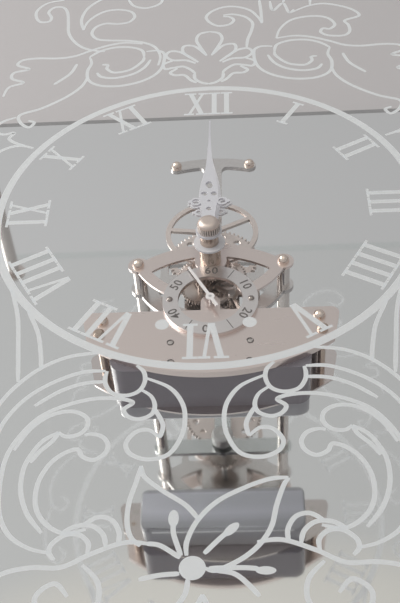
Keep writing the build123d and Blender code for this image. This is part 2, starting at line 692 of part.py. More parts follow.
# Hour pipe, wheel and hand
pipe_z = cannon_top + END_PLAY
pipe = rod(HOUR_PIPE_R, hour_hand_z - pipe_z, pipe_z)
pipe += rod(HOUR_SEAT_R, HAND_T, hour_hand_z)
nodes["hour_pipe"] = pipe - rod(CANNON_R + RUN, glass_z, 0.0)
hour_gear = gear_outline(HOUR_TEETH, hour_module, hour_phase) - spot(HOUR_PIPE_R)
nodes["hour_wheel"] = slab(hour_gear, WHEEL_T, hour_wheel_z)
hour_levels = [
    (HOUR_NECK_W, HOUR_NECK_Y - HOUR_HUB_R),
    (HOUR_NECK_W, HOUR_NECK_Y),
    (HOUR_BODY_W, HOUR_BODY_Y),
    (HOUR_WAIST_W, HOUR_WAIST_Y),
    (HOUR_SPIRE_W, HOUR_SPIRE_Y),
    (HOUR_TIP_W, HOUR_L),
]
hour_hand = hand_body(hour_levels) - openings(HOUR_DROP_Y, HOUR_EYES_Y, HOUR_DOT_Y, HOUR_LOW_EYE_Y)
hour_hand += side_curls(HOUR_CURL_R, HOUR_CURL_X, HOUR_CURL_Y)
hour_hand += side_curls(HOUR_LOW_CURL_R, HOUR_LOW_CURL_X, HOUR_LOW_CURL_Y)
hour_hand += spot(HOUR_HUB_R)
hour_hand -= spot(HOUR_SEAT_R)
nodes["hour_hand"] = slab(hour_hand, HAND_T, hour_hand_z)

# Minute wheel of the motion work, hung on a stud under the front plate
at_minute = Pos(minute_x, minute_y, 0)
minute_leaf_r = root_radius(MINUTE_LEAVES, hour_module)
leaf_top = front_z - END_PLAY
minute_wheel = slab(gear_outline(MINUTE_TEETH, CANNON_MODULE, minute_phase), WHEEL_T, minute_wheel_z)
minute_wheel += rod(minute_leaf_r, leaf_top - minute_wheel_z, minute_wheel_z)
leaves_z = hour_wheel_z - PINION_OVER
leaves = gear_outline(MINUTE_LEAVES, hour_module, 0.0)
minute_wheel += slab(leaves, WHEEL_T + 2 * PINION_OVER, leaves_z)
minute_wheel -= rod(SMALL_STUD_R + RUN, glass_z, 0.0)
nodes["minute_wheel"] = at_minute * minute_wheel
stud_low = minute_wheel_z - END_PLAY
minute_stud = rod(SMALL_STUD_R, front_top - stud_low, stud_low)
minute_stud += rod(STUD_HEAD_R, STUD_HEAD_H, stud_low - STUD_HEAD_H)
nodes["minute_stud"] = at_minute * minute_stud

# Third wheel and pinion on a stud of the back plate
at_third = Pos(third_x, third_y, 0)
third_pipe_r = root_radius(THIRD_LEAVES, CENTRE_MODULE)
third_pinion = slab(
    gear_outline(THIRD_LEAVES, CENTRE_MODULE, third_pinion_phase),
    third_pinion_top - third_pinion_z,
    third_pinion_z,
)
third_pinion += rod(third_pipe_r, third_wheel_top - back_top - END_PLAY, back_top + END_PLAY)
nodes["third_pinion"] = at_third * (third_pinion - rod(SMALL_STUD_R + RUN, glass_z, 0.0))
third_wheel = spoked_gear(THIRD_TEETH, THIRD_MODULE, 0.0, THIRD_HUB_R, third_pipe_r)
nodes["third_wheel"] = at_third * slab(third_wheel, WHEEL_T, third_wheel_z)
third_stud = rod(SMALL_STUD_R, third_wheel_top + END_PLAY - back_z, back_z)
third_stud += rod(STUD_HEAD_R, STUD_HEAD_H, third_wheel_top + END_PLAY)
nodes["third_stud"] = at_third * third_stud

# Seconds arbor with its pinion, driven by the motor behind the back plate
at_seconds = Pos(0, SECONDS_Y, 0)
seconds_low = back_z - SECONDS_REACH
seconds_arbor = rod(SECONDS_R, second_hand_z + SECOND_T - seconds_low, seconds_low)
seconds_arbor += slab(
    gear_outline(SECONDS_LEAVES, THIRD_MODULE, seconds_phase),
    seconds_pinion_top - seconds_pinion_z,
    seconds_pinion_z,
)
nodes["seconds_arbor"] = at_seconds * seconds_arbor
needle = outline(
    [
        (-SECOND_W / 2, -SECOND_TAIL),
        (SECOND_W / 2, -SECOND_TAIL),
        (SECOND_TIP_W / 2, SECOND_L),
        (-SECOND_TIP_W / 2, SECOND_L),
    ]
)
needle += spot(SECOND_HUB_R)
needle -= spot(SECONDS_R)
turned = Rot(0, 0, -6.0 * SECOND_AT)
nodes["second_hand"] = at_seconds * turned * slab(needle, SECOND_T, second_hand_z)
motor = slab(band(MOTOR_BOTTOM, MOTOR_TOP, MOTOR_W / 2, MOTOR_EDGE), MOTOR_H, back_z - MOTOR_H)
nodes["motor"] = motor - rod(SECONDS_R + ROTOR_PLAY, ROTOR_DEPTH, back_z - ROTOR_DEPTH, 0, SECONDS_Y)

# Upper arbor with the spoked and the holed wheel
at_upper = Pos(0, upper_y, 0)
upper_low = bridge_z
upper_top = spoked_z + SPOKED_T + LEVEL_GAP
upper_arbor = rod(UPPER_R, upper_top - upper_low, upper_low)
collar_low = bridge_top + END_PLAY
upper_arbor += rod(UPPER_HUB_R, upper_wheel_z - collar_low, collar_low)
nodes["upper_arbor"] = at_upper * upper_arbor
spoked = spot(SPOKED_R) - crossing_windows(
    SPOKED_HUB_R, SPOKED_R - SPOKED_RIM, SPOKED_SPOKES, SPOKED_SPOKE_W, SPOKED_TURN
)
spoked_wheel = slab(spoked, SPOKED_T, spoked_z)
spoked_wheel += rod(UPPER_HUB_R, spoked_z - back_top - END_PLAY, back_top + END_PLAY)
nodes["spoked_wheel"] = at_upper * (spoked_wheel - rod(UPPER_R, glass_z, 0.0))
holed = gear_outline(UPPER_TEETH, UPPER_MODULE, upper_phase)
for k in range(HOLED_HOLES):
    hole_x, hole_y = polar(HOLE_RING_R, 2 * math.pi * (k + 0.5) / HOLED_HOLES)
    holed -= spot(HOLED_HOLE_R, hole_x, hole_y)
nodes["holed_wheel"] = at_upper * (slab(holed, HOLED_T, upper_wheel_z) - rod(UPPER_R, glass_z, 0.0))

os.makedirs("parts", exist_ok=True)
for name, shape in nodes.items():
    export_step(shape, f"parts/{name}.step")
print(len(nodes), "nodes")
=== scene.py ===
import json
import math
import bpy
from mathutils import Matrix, Vector


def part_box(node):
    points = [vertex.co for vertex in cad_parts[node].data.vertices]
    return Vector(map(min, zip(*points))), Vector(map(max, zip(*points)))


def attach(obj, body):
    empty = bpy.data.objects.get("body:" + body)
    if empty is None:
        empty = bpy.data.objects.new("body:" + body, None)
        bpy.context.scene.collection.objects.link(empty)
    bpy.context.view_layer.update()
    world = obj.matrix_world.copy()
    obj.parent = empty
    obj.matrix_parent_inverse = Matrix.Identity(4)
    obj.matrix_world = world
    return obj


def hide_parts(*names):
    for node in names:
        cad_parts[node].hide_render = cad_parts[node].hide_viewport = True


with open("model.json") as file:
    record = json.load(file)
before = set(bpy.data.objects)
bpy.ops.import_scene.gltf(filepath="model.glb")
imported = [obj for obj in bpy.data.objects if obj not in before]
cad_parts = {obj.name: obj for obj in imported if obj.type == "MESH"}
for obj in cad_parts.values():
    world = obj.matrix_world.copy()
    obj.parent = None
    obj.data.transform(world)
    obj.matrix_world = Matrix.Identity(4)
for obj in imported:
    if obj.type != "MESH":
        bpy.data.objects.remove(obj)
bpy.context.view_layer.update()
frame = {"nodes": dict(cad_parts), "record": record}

# Dresses the clock: materials, the print on the glass, the signs on the seconds dial and small fittings.
# Then come the floor, the light and a camera fitted to the printed ring. Lengths are in millimetres.
MM = 0.001

# Print on the underside of the glass
PRINT_DROP = 0.12
LAYER_STEP = 2.0e-4
RING_R = 120.0
RING_W = 4.6
RING_STEPS = 240
DOT_R = 3.6
DOT_X = 22.3
DOT_Y = -91.0
DOT_STEPS = 48
NUMERAL_LOW = 91.0
NUMERAL_HIGH = 115.0
STEM = 3.2
HAIR = 1.9
SERIF = 1.6
SERIF_OVER = 2.2
ADVANCE = {"I": 7.9, "V": 15.6, "X": 15.2}
HOURS = ("XII", "I", "II", "III", "IIII", "V", "VI", "VII", "VIII", "IX", "X", "XI")
HOUR_ANGLE = 360.0 / len(HOURS)
STROKE_W = 2.3
STROKE_TAPER = 0.35
TAPER_SHARE = 0.12
SPLINE_STEPS = 10
OVAL_STEPS = 32

# Numbers, lines and screws of the seconds dial, all turned a little about its middle
SECONDS_Y = -33.6
DIAL_TURN = math.radians(1.2)
SECONDS_ROUND = 60
SECOND_ANGLE = 360.0 / SECONDS_ROUND
MARK_EVERY = 5
NUMBER_EVERY = 10
INK_LIFT = 0.06
NUMBER_R = 23.1
NUMBER_SIZE = 7.6
NUMBER_SPACING = 1.1
NUMBER_SMOOTH = 4
BOLD = 0.1
LINE_INNER_R = 19.4
LINE_OUTER_R = 27.0
LINE_W = 0.45
SCREW_R = 23.5
SCREW_HEAD_R = 1.9
SCREW_HEAD_H = 1.3
SCREW_SECONDS = (15, 45)

# Eyelets on the wide plate, each with a rivet in it
EYELETS = {"high": (22.2, -64.6), "low": (21.6, -79.2)}
EYELET_R = 1.75
EYELET_WIRE = 0.4
RIVET_H = 0.25
RIVET_SUNK = 0.1
DOME_STEPS = 28
DOME_ROWS = 6
HOOP_STEPS = 36
HOOP_SIDES = 10

# Hand nut with upright ridges round its side, the grooves in painted shade and the ridges in painted
# highlight
KNURLS = 30
KNURL_STEPS = 6
NUT_RIDGE_R = 6.7
NUT_GROOVE_R = 6.1
NUT_NECK_R = 6.4
NUT_CROWN_R = 2.85
NUT_CROWN_ROWS = 8
NUT_FOOT = 0.5
NUT_BAND = 3.9

# Moulded cover: soft edges, and a pale lip along its near lower edge as a painted highlight
WELD_GAP = 0.01
BEVEL_W = 1.5
BEVEL_STEPS = 3
BEVEL_ANGLE = math.radians(50.0)
LIP_R = 0.55
LIP_SIDES = 8
LIP_IN = 0.55
LIP_CORNER = 8.0
LIP_DROP = 17.4

# Edges sharper than this stay sharp in smooth shading
SHARP = math.radians(28.0)

# Floor and light, in metres and watts
FLOOR_SIZE = 12.0
FLOOR_TONE = (0.53, 0.51, 0.52)
KEY_PLACE = (-1.6, 0.6, 1.4)
KEY_TARGET = (0.0, 0.0, 0.15)
KEY_SIZE = 1.7
KEY_POWER = 28.0
KEY_COLOR = (1.0, 0.98, 0.95)

# Room light by height, from level to straight above, and its strength on the left and on the right
ROOM = (
    (0.0, (0.40, 0.39, 0.39)),
    (0.25, (0.44, 0.435, 0.435)),
    (0.46, (0.48, 0.475, 0.475)),
    (0.62, (0.50, 0.495, 0.50)),
    (0.842, (0.52, 0.515, 0.515)),
    (0.866, (0.63, 0.605, 0.57)),
    (0.94, (0.74, 0.72, 0.68)),
    (1.0, (1.0, 0.96, 0.90)),
)
ROOM_LEFT = 1.3
ROOM_RIGHT = 0.7

# Camera, fitted to the printed ring: distance and target in ring radii, focal length in picture rows
ELEVATION = math.radians(45.185)
AZIMUTH = math.radians(3.971)
ROLL = math.radians(-4.546)
AWAY = 4.458
TARGET_X = -0.026
TARGET_Y = -0.628
SENSOR_H = 24.0
FOCAL_ROWS = 1030.379
PICTURE_ROWS = 603.0
CLIP_START = 0.01

# Painted light and shade: tones of faces by their tilt, from level to upright
# Painted light on the cover: the underside lighter with a painted highlight band near level, the upright
# walls darker as painted shade
COVER_LIGHT_SHADE_TONES = (
    (0.0, (0.62, 0.63, 0.69)),
    (0.19, (0.725, 0.73, 0.815)),
    (0.36, (0.51, 0.515, 0.565)),
    (0.46, (0.485, 0.49, 0.53)),
    (1.0, (0.335, 0.33, 0.36)),
)
# Painted shade on the bar: upright faces darker, which also dims glints on them
BAR_SHADE_TONES = (
    (0.0, (0.765, 0.735, 0.72)),
    (0.4, (0.765, 0.735, 0.72)),
    (1.0, (0.58, 0.555, 0.545)),
)
# Painted shade on the open wheels: upright faces darker, which also dims sparkles on the teeth
WHEEL_SHADE_TONES = (
    (0.0, (0.82, 0.735, 0.70)),
    (0.4, (0.82, 0.735, 0.70)),
    (1.0, (0.63, 0.565, 0.535)),
)

# Glass, print and grain
GLASS_TINT = (0.985, 0.989, 0.986)
GLASS_IOR = 1.3
GLASS_EDGE_TINT = (0.94, 0.96, 0.955)
GLASS_EDGE_SHEEN = (0.86, 0.92, 0.90)
GLASS_EDGE_ROUGH = 0.1
GLASS_EDGE_SHARE = 0.2
LEVEL_NORMAL = 0.9
PRINT_TONE = (0.92, 0.94, 0.965)
PRINT_THROUGH = 0.4
GRAIN_SCALE = 60.0

glass_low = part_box("glass_top")[0].z
dial_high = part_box("seconds_dial")[1].z
plate_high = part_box("wide_front_plate")[1].z
print_z = glass_low - PRINT_DROP * MM
ink_z = dial_high + INK_LIFT * MM


# Materials
def opaque(color):
    """Colour with full alpha."""
    return (*color, 1.0)


def material(name):
    """New node material and its node tree."""
    made = bpy.data.materials.new(name)
    made.use_nodes = True
    return made, made.node_tree


def add_node(tree, kind, values=None, operation=None):
    """New node with some of its inputs set."""
    made = tree.nodes.new(kind)
    if operation:
        made.operation = operation
    for socket, value in (values or {}).items():
        made.inputs[socket].default_value = value
    return made


def link(tree, source, output, target, socket):
    """Links an output of one node to an input of another."""
    tree.links.new(source.outputs[output], target.inputs[socket])


def fill_ramp(ramp, tones):
    """Sets a colour ramp to (position, colour) pairs, the first at 0 and the last at 1."""
    stops = ramp.color_ramp.elements
    for spot, color in tones[1:-1]:
        stops.new(spot).color = opaque(color)
    stops[0].color = opaque(tones[0][1])
    stops[-1].color = opaque(tones[-1][1])


def principled(name, metal, rough, coat=0.0):
    """Principled material whose colour is still to be set, with its tree and its shader."""
    made, tree = material(name)
    shader = tree.nodes["Principled BSDF"]
    shader.inputs["Metallic"].default_value = metal
    shader.inputs["Roughness"].default_value = rough
    shader.inputs["Coat Weight"].default_value = coat
    return made, tree, shader


def plain(name, color, rough, metal=0.0, coat=0.0):
    """Material of one colour."""
    made, _, shader = principled(name, metal, rough, coat)
    shader.inputs["Base Color"].default_value = opaque(color)
    return made


def grained(name, color, rough, spread, stretch):
    """Metal whose roughness varies a little along its grain."""
    made, tree, shader = principled(name, 1.0, rough)
    shader.inputs["Base Color"].default_value = opaque(color)
    place = add_node(tree, "ShaderNodeTexCoord")
    scale = add_node(tree, "ShaderNodeMapping", {"Scale": stretch})
    noise = add_node(tree, "ShaderNodeTexNoise", {"Scale": GRAIN_SCALE})
    span = add_node(tree, "ShaderNodeMapRange", {"To Min": rough - spread, "To Max": rough + spread})
    link(tree, place, "Object", scale, "Vector")
    link(tree, scale, "Vector", noise, "Vector")
    link(tree, noise, "Fac", span, "Value")
    link(tree, span, "Result", shader, "Roughness")
    return made


def tilted(name, tones, metal, rough, coat=0.0):
    """Material with painted light and shade: its tone follows how far a face turns away from level."""
    made, tree, shader = principled(name, metal, rough, coat)
    geometry = add_node(tree, "ShaderNodeNewGeometry")
    split = add_node(tree, "ShaderNodeSeparateXYZ")
    level = add_node(tree, "ShaderNodeCombineXYZ")
    tilt = add_node(tree, "ShaderNodeVectorMath", operation="LENGTH")
    ramp = add_node(tree, "ShaderNodeValToRGB")
    fill_ramp(ramp, tones)
    link(tree, geometry, "Normal", split, "Vector")
    link(tree, split, "X", level, "X")
    link(tree, split, "Y", level, "Y")
    link(tree, level, "Vector", tilt, 0)
    link(tree, tilt, "Value", ramp, "Fac")
    link(tree, ramp, "Color", shader, "Base Color")
    return made


def bare_material(name):
    """Node material without a shader, with its tree and its output."""
    made, tree = material(name)
    tree.nodes.remove(tree.nodes["Principled BSDF"])
    return made, tree, tree.nodes["Material Output"]


def mix(tree, share, first, first_output, second, second_output):
    """Mix of two shaders. The share of the second is a number, or None where a node sets it."""
    both = add_node(tree, "ShaderNodeMixShader", {} if share is None else {"Fac": share})
    link(tree, first, first_output, both, 1)
    link(tree, second, second_output, both, 2)
    return both


def translucent(name, color):
    """Thin print that takes light on one face and glows through on the other."""
    made, tree, out = bare_material(name)
    near = add_node(tree, "ShaderNodeBsdfDiffuse", {"Color": opaque(color)})
    far = add_node(tree, "ShaderNodeBsdfTranslucent", {"Color": opaque(color)})
    both = mix(tree, PRINT_THROUGH, near, "BSDF", far, "BSDF")
    link(tree, both, "Shader", out, "Surface")
    return made


def clear_glass(name):
    """Thin clear plate: mirrors on its outer faces, most at a low angle, and is greenish at its edges."""
    made, tree, out = bare_material(name)
    geometry = add_node(tree, "ShaderNodeNewGeometry")
    fresnel = add_node(tree, "ShaderNodeFresnel", {"IOR": GLASS_IOR})
    front = add_node(tree, "ShaderNodeMath", {0: 1.0}, "SUBTRACT")
    outer = add_node(tree, "ShaderNodeMath", operation="MULTIPLY")
    through = add_node(tree, "ShaderNodeBsdfTransparent", {"Color": opaque(GLASS_TINT)})
    gloss = add_node(tree, "ShaderNodeBsdfGlossy", {"Roughness": 0.0})
    face = mix(tree, None, through, "BSDF", gloss, "BSDF")
    link(tree, geometry, "Backfacing", front, 1)
    link(tree, fresnel, "Fac", outer, 0)
    link(tree, front, "Value", outer, 1)
    link(tree, outer, "Value", face, "Fac")
    edge_through = add_node(tree, "ShaderNodeBsdfTransparent", {"Color": opaque(GLASS_EDGE_TINT)})
    sheen = {"Color": opaque(GLASS_EDGE_SHEEN), "Roughness": GLASS_EDGE_ROUGH}
    edge_gloss = add_node(tree, "ShaderNodeBsdfGlossy", sheen)
    edge = mix(tree, GLASS_EDGE_SHARE, edge_through, "BSDF", edge_gloss, "BSDF")
    split = add_node(tree, "ShaderNodeSeparateXYZ")
    size = add_node(tree, "ShaderNodeMath", operation="ABSOLUTE")
    flat = add_node(tree, "ShaderNodeMath", {1: LEVEL_NORMAL}, "GREATER_THAN")
    both = mix(tree, None, edge, "Shader", face, "Shader")
    link(tree, geometry, "True Normal", split, "Vector")
    link(tree, split, "Z", size, 0)
    link(tree, size, "Value", flat, 0)
    link(tree, flat, "Value", both, "Fac")
    link(tree, both, "Shader", out, "Surface")
    return made


# Looks by material slot, then nodes with a look of their own, among them all nodes of the slot grey_nickel
finish = {
    "glass": clear_glass("clear_glass"),
    "mirror": plain("silver_mirror", (0.90, 0.905, 0.903), metal=1.0, rough=0.052),
    "dark_lacquer": plain("dark_lacquer", (0.265, 0.262, 0.268), rough=0.4),
    "rubber": plain("black_rubber", (0.02, 0.02, 0.02), rough=0.8),
    "polished_nickel": plain("polished_nickel", (0.74, 0.69, 0.66), metal=1.0, rough=0.09),
    "rose_nickel": grained("rose_nickel", (0.85, 0.75, 0.715), 0.28, spread=0.015, stretch=(1.0, 8.0, 1.0)),
    "copper_ball": plain("polished_copper", (0.88, 0.75, 0.67), metal=1.0, rough=0.16),
    "satin_dial": grained("satin_dial", (0.80, 0.76, 0.755), 0.33, spread=0.05, stretch=(1.0, 1.0, 1.0)),
    "brass": plain("dark_brass", (0.58, 0.475, 0.405), metal=1.0, rough=0.26),
    "steel": plain("turned_steel", (0.72, 0.71, 0.71), metal=1.0, rough=0.35),
    "white_hand": plain("white_hand", (0.92, 0.88, 0.885), rough=0.35),
    "dark_plastic": plain("dark_plastic", (0.205, 0.187, 0.213), rough=0.22, coat=0.3),
    # Grey plastic with painted light and shade by the tilt of its faces
    "grey_plastic": tilted("grey_plastic", COVER_LIGHT_SHADE_TONES, metal=0.0, rough=0.28, coat=0.3),
    "cell_jacket": plain("cell_jacket", (0.12, 0.12, 0.14), rough=0.4),
}
OPEN_WHEELS = ("spoked_wheel", "holed_wheel", "centre_wheel")
WHEELWORK = ("hour_wheel", "minute_wheel", "third_wheel", "third_pinion", "drive_pinion", "cannon_pinion")
own_look = {
    "minute_hand": plain("pale_hand", (0.69, 0.685, 0.735), rough=0.4),
    "hour_hand": plain("pale_hub", (0.76, 0.75, 0.785), rough=0.4),
    # Back plate with painted shade on its upright faces
    "back_plate": tilted("nickel_painted_shade", BAR_SHADE_TONES, metal=1.0, rough=0.24),
    "rear_bridge": plain("dull_nickel", (0.75, 0.77, 0.765), metal=1.0, rough=0.2),
    "wide_rear_plate": plain("warm_nickel", (0.745, 0.685, 0.665), metal=1.0, rough=0.18),
    "setting_knob": plain("aged_brass", (0.62, 0.61, 0.605), metal=1.0, rough=0.42),
}
own_look.update(dict.fromkeys(WHEELWORK, plain("pale_brass", (0.64, 0.57, 0.53), metal=1.0, rough=0.3)))
# Open wheels with painted shade on their upright faces
own_look.update(dict.fromkeys(OPEN_WHEELS, tilted("satin_wheel_painted_shade", WHEEL_SHADE_TONES, metal=1.0, rough=0.4)))
print_white = translucent("print_white", PRINT_TONE)
ink = plain("dial_ink", (0.15, 0.135, 0.132), rough=0.6)
screw_tone = plain("bright_screw", (0.40, 0.355, 0.335), metal=1.0, rough=0.16)
eyelet_tone = plain("dark_screw", (0.22, 0.20, 0.195), metal=1.0, rough=0.35)
rivet_tone = plain("satin_rivet", (0.62, 0.58, 0.56), metal=1.0, rough=0.4)
nut_tone = plain("satin_nut", (0.80, 0.69, 0.635), metal=1.0, rough=0.42)
# Painted shade in the nut's grooves and a painted highlight on its ridges
groove_shade_tone = plain("nut_groove_painted_shade", (0.40, 0.365, 0.345), metal=1.0, rough=0.5)
ridge_highlight_tone = plain("nut_ridge_painted_highlight", (0.95, 0.90, 0.87), metal=1.0, rough=0.55)
# Pale tone of the lip: a painted highlight
lip_highlight_tone = plain("painted_highlight_lip", (0.86, 0.87, 0.90), rough=0.3)

slot_of = {row["node"]: row["material_slot"] for row in frame["record"]["subparts"]}
for name, node in frame["nodes"].items():
    node.data.materials.clear()
    node.data.materials.append(own_look[name] if name in own_look else finish[slot_of[name]])


# Mesh helpers
def put(name, mesh, look, body):
    """Object for a mesh in the row frame, riding a body."""
    mesh.materials.append(look)
    made = bpy.data.objects.new(name, mesh)
    bpy.context.scene.collection.objects.link(made)
    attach(made, body)
    return made


def add_mesh(name, points, faces, look, body, smooth=False):
    """Mesh object from points and faces, riding a body."""
    mesh = bpy.data.meshes.new(name)
    mesh.from_pydata(points, [], faces)
    mesh.update()
    for face in mesh.polygons:
        face.use_smooth = smooth
    return put(name, mesh, look, body)


def circle(radius, x, y, steps):
    """Points round a circle."""
    turns = [2 * math.pi * k / steps for k in range(steps)]
    return [(x + radius * math.cos(t), y + radius * math.sin(t)) for t in turns]


def walls(rows, steps):
    """Four-sided faces between rings of points that lie one above the other."""
    faces = []
    for row in range(rows - 1):
        for k in range(steps):
            a = row * steps + k
            b = row * steps + (k + 1) % steps
            faces.append((a, b, b + steps, a + steps))
    return faces


class Flat:
    """Collects flat printed shapes, each a hair lower than the one before so that none coincide."""

    def __init__(self, z):
        self.z = z
        self.points = []
        self.faces = []
        self.layer = 0

    def start(self):
        """Level of the next shape and the number of its first point."""
        self.layer += 1
        return self.z - self.layer * LAYER_STEP * MM, len(self.points)

    def polygon(self, corners):
        """Adds a filled outline."""
        z, first = self.start()
        for x, y in corners:
            self.points.append((x * MM, y * MM, z))
        self.faces.append(tuple(range(first, first + len(corners))))

    def ribbon(self, left, right, closed=False):
        """Adds a band between two edges with as many points each."""
        z, first = self.start()
        for pair in zip(left, right):
            for x, y in pair:
                self.points.append((x * MM, y * MM, z))
        count = len(left)
        for k in range(count if closed else count - 1):
            a = first + 2 * k
            b = first + 2 * ((k + 1) % count)
            self.faces.append((a, a + 1, b + 1, b))

    def make(self, name, look, body):
        """Makes one object of all the shapes."""
        add_mesh(name, self.points, self.faces, look, body)


def between(a, b, c, d, t):
    """Value of a smooth cubic between b and c, where a comes before them and d after."""
    slope = c - a
    bend = 2 * a - 5 * b + 4 * c - d
    twist = 3 * b - a - 3 * c + d
    return 0.5 * (2 * b + slope * t + bend * t * t + twist * t**3)


def spline(knots):
    """Smooth line through the knots."""
    line = []
    ends = [knots[0]] + knots + [knots[-1]]
    for k in range(len(knots) - 1):
        four = ends[k : k + 4]
        for step in range(SPLINE_STEPS):
            t = step / SPLINE_STEPS
            line.append(tuple(between(*values, t) for values in zip(*four)))
    line.append(knots[-1])
    return line


def stroke(sheet, line, width, taper):
    """Ribbon along a line, thinner at its two ends by the taper."""
    left = []
    right = []
    last = len(line) - 1
    for k, (x, y) in enumerate(line):
        ax, ay = line[max(0, k - 1)]
        bx, by = line[min(last, k + 1)]
        length = math.hypot(bx - ax, by - ay)
        nx = -(by - ay) / length
        ny = (bx - ax) / length
        share = min(1.0, min(k, last - k) / (TAPER_SHARE * last))
        half = 0.5 * width * (1.0 - taper + taper * share)
        left.append((x + nx * half, y + ny * half))
        right.append((x - nx * half, y - ny * half))
    sheet.ribbon(left, right)


# Printed ring and dots
ring = Flat(print_z)
ring_edges = [circle(RING_R + edge * RING_W / 2, 0.0, 0.0, RING_STEPS) for edge in (1, -1)]
ring.ribbon(*ring_edges, closed=True)
for side in (-1, 1):
    ring.polygon(circle(DOT_R, side * DOT_X, DOT_Y, DOT_STEPS))
ring.make("print_ring", print_white, "frame")

# Printed Roman numerals
tall = NUMERAL_HIGH - NUMERAL_LOW


def bar(middle, width, low, high):
    """Upright box as corner points."""
    left = middle - width / 2
    right = middle + width / 2
    return [(left, low), (right, low), (right, high), (left, high)]


def serif(middle, width, low):
    """Level foot or head of a stroke, as corner points."""
    return bar(middle, width + 2 * SERIF_OVER, low, low + SERIF)


def slant(low_x, high_x, width):
    """Slanting stroke with level ends, as corner points."""
    half = width / 2
    return [(low_x - half, 0), (low_x + half, 0), (high_x + half, tall), (high_x - half, tall)]


def glyph(letter):
    """Corner lists of one numeral letter, with its left edge at zero."""
    wide = ADVANCE[letter]
    head = tall - SERIF
    if letter == "I":
        middle = wide / 2
        return [bar(middle, STEM, 0, tall), serif(middle, STEM, 0), serif(middle, STEM, head)]
    left = SERIF_OVER + STEM / 2
    right = wide - SERIF_OVER - HAIR / 2
    heads = [serif(left, STEM, head), serif(right, HAIR, head)]
    if letter == "V":
        foot = wide / 2 + HAIR / 2
        return [slant(foot, left, STEM), slant(foot + HAIR / 2, right, HAIR)] + heads
    low_left = SERIF_OVER + HAIR / 2
    low_right = wide - SERIF_OVER - STEM / 2
    feet = [serif(low_left, HAIR, 0), serif(low_right, STEM, 0)]
    return [slant(low_right, left, STEM), slant(low_left, right, HAIR)] + heads + feet


numerals = Flat(print_z)
for hour, word in enumerate(HOURS):
    angle = math.radians(HOUR_ANGLE * hour)
    across = (math.cos(angle), -math.sin(angle))
    out = (math.sin(angle), math.cos(angle))
    start = -sum(ADVANCE[letter] for letter in word) / 2
    for letter in word:
        for shape in glyph(letter):
            corners = []
            for x, y in shape:
                u = start + x
                v = NUMERAL_LOW + y
                corners.append((u * across[0] + v * out[0], u * across[1] + v * out[1]))
            numerals.polygon(corners)
        start += ADVANCE[letter]
numerals.make("print_numerals", print_white, "frame")

